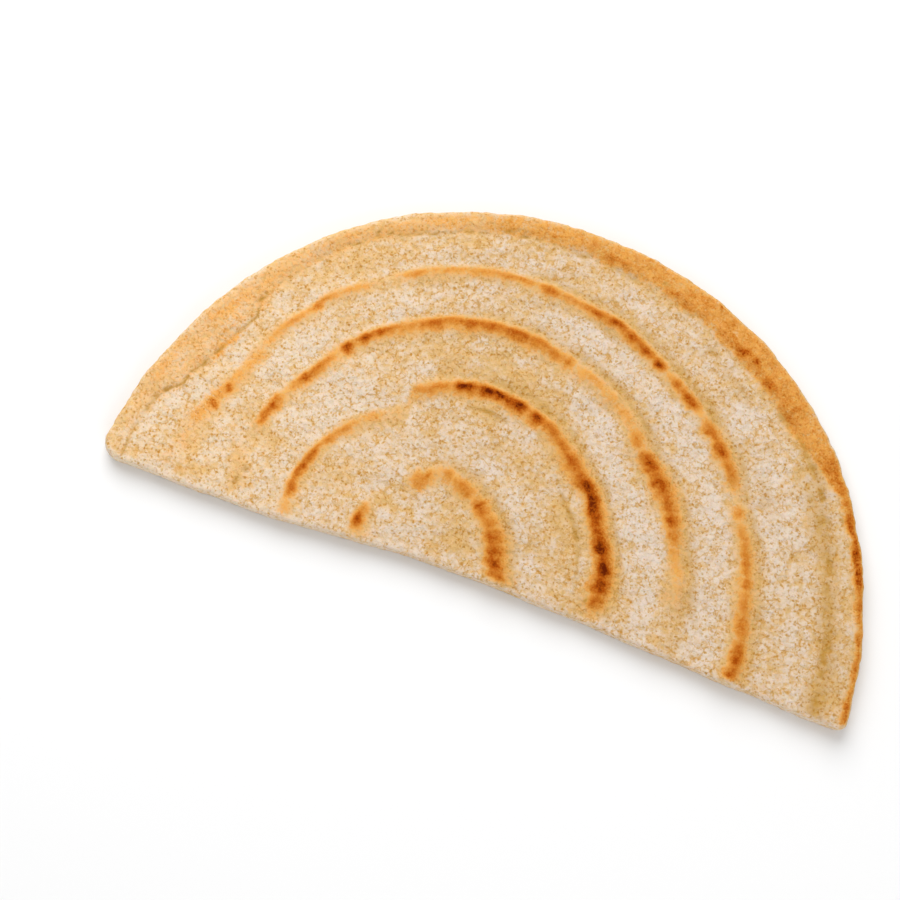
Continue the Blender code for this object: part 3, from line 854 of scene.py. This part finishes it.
def crust_material(settings):
    """Cream crumb over tan, with pores, crevices, olive places and brown toasting; darker pores, crevices and clump
    valleys are partly painted shade.

    Tan turns to cream with the surface's own paleness, plus noise of several sizes and
    less hollows, which are where the speckle noise is low. Pores are dots of uneven size
    about scattered points, bent out of round. Crevices are the walls of cells, broken up
    by noise. Toasting runs through five colours, and pores show less where it is strong.
    """
    made = Shader("bread_crust")
    place = made.node("ShaderNodeTexCoord", "Object", {})
    toast, crust, pale, olive, hole, painted_left_light, clump = [
        made.node("ShaderNodeAttribute", "Fac", {"attribute_name": name}) for name in SURFACE_VALUES]
    grain = settings.grain_size
    bent = made.bend(place, grain * 0.8, grain * 0.8)

    lumps = made.noise(bent, grain, 1.0, 0.5).ramp(0.28, 0.62)
    fine = made.noise(place, FINE_GRAIN, 1.0, 0.5)
    speckle = made.noise(bent, SPECKLE, 2.0, 0.55)
    blotch = made.noise(place, BLOTCH, 3.0, 0.55)
    dots = made.dots(bent, grain * 0.95, 0.09, 0.26)
    little = made.dots(bent, grain * 0.55, 0.04, 0.25)
    edge = made.node("ShaderNodeTexVoronoi", "Distance", {"feature": "DISTANCE_TO_EDGE"},
                     Vector=made.bend(place, 1.2 * MM, 1.6 * MM), Scale=1 / CREVICE_CELL)
    crevice = (1 - edge.ramp(0.0, 0.14)) * made.noise(place, CREVICE_CELL, 2.0, 0.5).ramp(0.45, 0.6)
    hollow = 1 - speckle.ramp(0.34, 0.52)
    browned = toast.ramp(0.05, 0.35)
    open_crumb = (1 - crust * 0.6) * (1 - browned * 0.35)
    # pores and crevices darken the crumb: partly its own colour, partly painted shade in these small recesses
    pits = (dots * 0.9 + little * 0.4 + crevice * 0.5).clamped() * open_crumb * (1 + painted_left_light * 0.1)

    # painted shade: crumb tan in the valleys between clumps, paler on their tops
    mixed = pale + (lumps - 0.5) * 0.2 - hollow * 0.4 + (blotch - 0.5) * 1.0 + (clump - 0.65) * 0.3
    mixed = (mixed + (fine - 0.5) * 0.35 - crevice * 0.4).ramp(-0.2, 1.0)
    # painted light: crumb colours brighter towards the left end, where the light is stronger
    tan = made.mix(painted_left_light, colour_of(settings.tan), colour_of(settings.tan_in_left_light))
    cream = made.mix(painted_left_light, colour_of(settings.cream), colour_of(settings.cream_in_left_light))
    base = made.mix(mixed, tan, cream)
    shade = 1 + (fine - 0.5 + lumps - 0.5) * (1 - browned * 0.5) * 0.08
    base = made.mix(1.0, base, made.grey(shade, shade, shade + (fine - 0.5) * 0.2), "MULTIPLY")
    base = made.mix((olive * 0.8 + (blotch - 0.5) * olive * 1.6).clamped(), base, colour_of(settings.olive))

    rough_toast = (speckle - 0.5) * 0.3 + (fine - 0.5) * (1.0 - crust * 0.5) + (lumps - 0.5) * 0.16
    burn = toast * (1.12 + rough_toast) + pits * toast.ramp(0.1, 0.5) * 0.12
    browns = (settings.glow, settings.gold, settings.orange, settings.brown, settings.burnt)
    stops = list(zip(TOAST_STOPS, (colour_of(brown) for brown in browns)))
    browning = made.node("ShaderNodeValToRGB", "Color", {"stops": stops}, (burn,))
    # painted light: the toasting's colours are also brighter towards the left end
    bright = shade + painted_left_light * 0.1
    shade_and_light_tint = made.grey(bright, bright, shade + painted_left_light * 0.16 + (fine - 0.5 + speckle - 0.5) * 0.4)
    toasted = made.mix(1.0, browning, shade_and_light_tint, "MULTIPLY")
    uneven = (fine - 0.5) * 0.2 + (lumps - 0.5) * 0.12
    colour = made.mix((burn + uneven * toast.ramp(0.0, 0.1)).ramp(0.02, 0.40), base, toasted)
    colour = made.mix(pits * 0.9, colour, made.mix(1.0, colour, (*settings.pore, 1.0), "MULTIPLY"))
    colour = made.mix((hole * 1.2 + (speckle - 0.5) * hole).clamped(), colour, colour_of(settings.hole))

    height = lumps * (1 - crust * 0.6) + fine * 0.15 - pits * 0.25
    raised = made.node("ShaderNodeBump", "Normal", {}, Height=height, Strength=1.0, Distance=settings.grain_relief)
    return made.finish({
        "Base Color": colour, "Normal": raised, "Roughness": 0.88 - crust * 0.12, "Specular IOR Level": 0.03,
        "Subsurface Weight": settings.softness, "Subsurface Radius": (1.0, 0.6, 0.35), "Subsurface Scale": 1.2 * MM,
    })


def number_prop(name, description, default, **kind):
    """A length, angle, power or plain number that a user may change."""
    return bpy.props.FloatProperty(name=name, description=description, default=default, **kind)


def colour_prop(name, description, default):
    """A colour as it looks: red, green and blue from 0 to 255."""
    return bpy.props.IntVectorProperty(name=name, description=description, default=default, min=0, max=255)


class BreadSettings(bpy.types.PropertyGroup):
    """Sizes and colours of the bread."""
    grid_count: bpy.props.IntProperty(name="Grid", description="Cells from the cut to the rim", default=184, min=20)
    wall_rows: bpy.props.IntProperty(name="Wall rows", description="Rows of points down the side", default=9, min=3)
    grain_size: number_prop("Grain", "Width of one grain of the crumb", 1.4 * MM, subtype="DISTANCE")
    grain_relief: number_prop("Grain relief", "How far fine grains stand out", 0.2 * MM, subtype="DISTANCE")
    clump_relief: number_prop("Clump relief", "How far clumps of grains stand out", 0.35 * MM, subtype="DISTANCE")
    softness: number_prop("Softness", "How much light passes through the crumb", 0.4, min=0, max=1, subtype="FACTOR")
    cream: colour_prop("Cream", "Palest crumb", (227, 209, 191))
    # the left end's colours are painted light: the same crumb, brighter where the light is stronger
    cream_in_left_light: colour_prop("Light cream", "Palest crumb at the left end", (237, 215, 188))
    tan: colour_prop("Tan", "Baked crumb", (221, 181, 121))
    tan_in_left_light: colour_prop("Light tan", "Baked crumb at the left end", (235, 193, 132))
    # olive is partly the crumb's tint and partly painted shade in the grooves, folds and shaded outer sides of ridges
    olive: colour_prop("Olive", "In the grooves", (203, 158, 80))
    # the pores' darkening is partly painted shade inside them
    pore: bpy.props.FloatVectorProperty(name="Pores", description="Share of each colour that pores keep",
                                        default=(0.74, 0.54, 0.20), min=0, max=1)
    hole: colour_prop("Hole", "Burst bubbles", (190, 142, 62))
    glow: colour_prop("Glow", "Palest toasting", (230, 184, 122))
    gold: colour_prop("Gold", "Light toasting", (229, 167, 86))
    orange: colour_prop("Orange", "Middle toasting", (209, 131, 46))
    brown: colour_prop("Brown", "Dark toasting", (180, 86, 9))
    burnt: colour_prop("Burnt", "Darkest toasting", (104, 31, 0))


class StageSettings(bpy.types.PropertyGroup):
    """Camera, floor and light."""
    lens: number_prop("Lens", "Focal length", 85, unit="CAMERA")
    distance: number_prop("Distance", "From the camera to the bread", 0.7016, subtype="DISTANCE")
    elevation: number_prop("Elevation", "Camera's height angle", math.radians(77), subtype="ANGLE")
    turn: number_prop("Turn", "Camera's way round from the cut edge", math.radians(20.9), subtype="ANGLE")
    aim: bpy.props.FloatVectorProperty(name="Aim", description="Where the camera looks, from the disc's middle",
                                       default=(-21.4 * MM, 41.7 * MM, 7 * MM), subtype="TRANSLATION")
    floor_colour: bpy.props.FloatVectorProperty(name="Floor", description="Floor's colour",
                                                default=(0.85, 0.85, 0.85), subtype="COLOR")
    key_power: number_prop("Key light", "Power of the lamp behind the bread", 14.0, unit="POWER")
    front_power: number_prop("Front light", "Power of the lamp before it", 5.6, unit="POWER")
    fill: number_prop("Fill", "Strength of the light from all round", 0.5)


class BREAD_OT_half(bpy.types.Operator):
    """Make the half round of bread and its crust"""
    bl_idname = "bread.half"
    bl_label = "Bread half"

    def execute(self, context):
        settings = context.scene.bread
        points, quads, triangles, zone, cut = bread_surface(settings.grid_count, settings.wall_rows)
        shift = -(points.min(0) + points.max(0)) / 2 * (1, 1, 0)    # centres the bread over its footprint
        last = settings.wall_rows + 1
        top = zone == 0
        under = zone == last
        x, y = points[:, :2].T.copy()
        ring_radius, ring_angle, strayed = rings_at(x, y)
        _, cover = ridge_relief(strayed, ring_angle)
        rim = smooth_step(np.hypot(x, y), *RIM_CRUST)
        crust = np.clip(np.maximum(cover, rim * 0.15) * (1 - 0.8 * cut), 0, 1)
        down = np.clip(zone / last, 0, 1)
        from_cut = y - cut_line(x)
        toast = toast_map(x, y, strayed, ring_angle) * (1 - 0.8 * bump(from_cut, 1 * MM, 2.5 * MM))
        # darker foot of the sides: partly toasting, partly painted contact shadow where they meet the floor
        foot_toast_and_shade = FOOT_TOAST_AND_SHADE * smooth_step(down, 0.75, 0.95)
        toast = np.where(top, toast, toast * (1 - smooth_step(down, 0.0, 0.5)) + foot_toast_and_shade)
        griddled = UNDERSIDE_TOAST + 0.09 * lattice_noise(points, 9 * MM, 22) + LAND_TOAST * crust
        toast = np.where(under, griddled, toast)
        pale = paleness(x, y, ring_radius, ring_angle)
        # paler crumb along the cut and on its wall, the cut crumb's own colour, paler still towards the left end as
        # painted light
        border = np.maximum(bump(from_cut, 3 * MM, 3 * MM), cut)
        painted_left_light = smooth_step(-x, 0.0, PAINTED_LIGHT_REACH)
        pale = pale + (0.6 + 0.8 * painted_left_light - pale) * border * 0.8
        olive = olive_map(x, y, strayed, ring_angle) * top
        hole, _ = hole_cover(x, y)
        groove, depth, _ = rim_crease(x, y)
        inside, _ = folds(strayed, ring_angle)
        # dark hole colour along the rim's crease and the folds: partly pits, partly painted shade in these creases
        broken = np.clip(0.5 + lattice_noise(flat_points(x, y), 1.6 * MM, 47), 0, 1)
        hole = np.maximum(hole, np.maximum(groove ** 2 * np.clip(depth / (0.4 * MM), 0, 1), inside ** 2 * 0.8) * broken)

        stirred = points + 0.8 * MM * np.stack([lattice_noise(points, 2 * MM, 81 + axis) for axis in range(3)], 1)
        nearest, own = cell_noise(stirred, CLUMP, 31)
        clump = 1 - np.clip(nearest, 0, 1) ** 2 + 0.5 * (own - 0.5)
        amount = settings.clump_relief * (1 - 0.8 * crust)
        amount = np.where(under, amount * 0.4, amount)
        points = points + point_normals(points, quads, triangles) * (amount * (clump - 0.6))[:, None]
        points[:, 2] = np.maximum(points[:, 2], 0)
        piece = mesh_from_arrays("bread_half_crust", points + shift, quads, triangles)
        for name, values in zip(SURFACE_VALUES, (toast, crust, pale, olive, hole * top, painted_left_light, clump)):
            layer = piece.data.attributes.new(name, "FLOAT", "POINT")
            layer.data.foreach_set("value", values.astype(np.float32))
        piece.data.materials.append(crust_material(settings))
        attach(piece, "root")
        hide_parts(NODE)
        return {"FINISHED"}


def add_lamp(name, watts, place):
    """A round lamp at a place, turned so that it shines on the origin."""
    light = bpy.data.lights.new(name, "AREA")
    light.shape = "DISK"
    light.size = LAMP_SIZE
    light.energy = watts
    lamp = add_object(name, light)
    x, y, z = place
    lamp.location = place
    lamp.rotation_euler = (math.atan2(math.hypot(x, y), z), 0, math.atan2(-y, -x) - math.pi / 2)


class BREAD_OT_stage(bpy.types.Operator):
    """Set the floor, the light and the camera"""
    bl_idname = "bread.stage"
    bl_label = "Stage"

    def execute(self, context):
        settings = context.scene.bread_stage
        scene = context.scene
        scene.view_settings.view_transform = "Standard"
        aim = np.array(settings.aim) - (0, CAD_BOX[1][1], 0)
        side = math.cos(settings.elevation)
        back = np.array([math.sin(settings.turn) * side, -math.cos(settings.turn) * side,
                         math.sin(settings.elevation)])
        camera = bpy.data.cameras.new("camera")
        camera.lens = settings.lens
        camera.sensor_width = SENSOR_WIDTH
        holder = add_object("camera", camera)
        holder.location = aim + back * settings.distance
        holder.rotation_euler = (math.pi / 2 - settings.elevation, 0, settings.turn)
        scene.camera = holder

        corners = np.array([(-1, -1, 0), (1, -1, 0), (1, 1, 0), (-1, 1, 0)]) * FLOOR_REACH
        floor = mesh_from_arrays("floor", corners, [(0, 1, 2, 3)])
        white = Shader("floor").finish({"Base Color": (*settings.floor_colour, 1), "Roughness": 0.9})
        floor.data.materials.append(white)

        add_lamp("key", settings.key_power, KEY_PLACE)
        add_lamp("front", settings.front_power, FRONT_PLACE)
        world = bpy.data.worlds.new("studio")
        world.use_nodes = True
        background = world.node_tree.nodes["Background"]
        background.inputs["Color"].default_value = (1, 1, 1, 1)
        background.inputs["Strength"].default_value = settings.fill
        scene.world = world
        return {"FINISHED"}


class BREAD_PT_panel(bpy.types.Panel):
    """The bread's steps and settings"""
    bl_idname = "BREAD_PT_panel"
    bl_label = "Cassava bread"
    bl_space_type = "VIEW_3D"
    bl_region_type = "UI"
    bl_category = "Bread"

    def draw(self, context):
        for step in STEPS:
            self.layout.operator(step.bl_idname)
        for group in (context.scene.bread, context.scene.bread_stage):
            for name in group.bl_rna.properties.keys():
                if name not in ("name", "rna_type"):
                    self.layout.prop(group, name)


STEPS = (BREAD_OT_half, BREAD_OT_stage)
CLASSES = (BreadSettings, StageSettings) + STEPS + (BREAD_PT_panel,)


def register():
    for made in CLASSES:
        bpy.utils.register_class(made)
    bpy.types.Scene.bread = bpy.props.PointerProperty(type=BreadSettings)
    bpy.types.Scene.bread_stage = bpy.props.PointerProperty(type=StageSettings)


def unregister():
    del bpy.types.Scene.bread_stage
    del bpy.types.Scene.bread
    for made in reversed(CLASSES):
        bpy.utils.unregister_class(made)


def main():
    """Makes the bread and its stage."""
    register()
    bpy.ops.bread.half()
    bpy.ops.bread.stage()


if __name__ == "__main__":
    main()
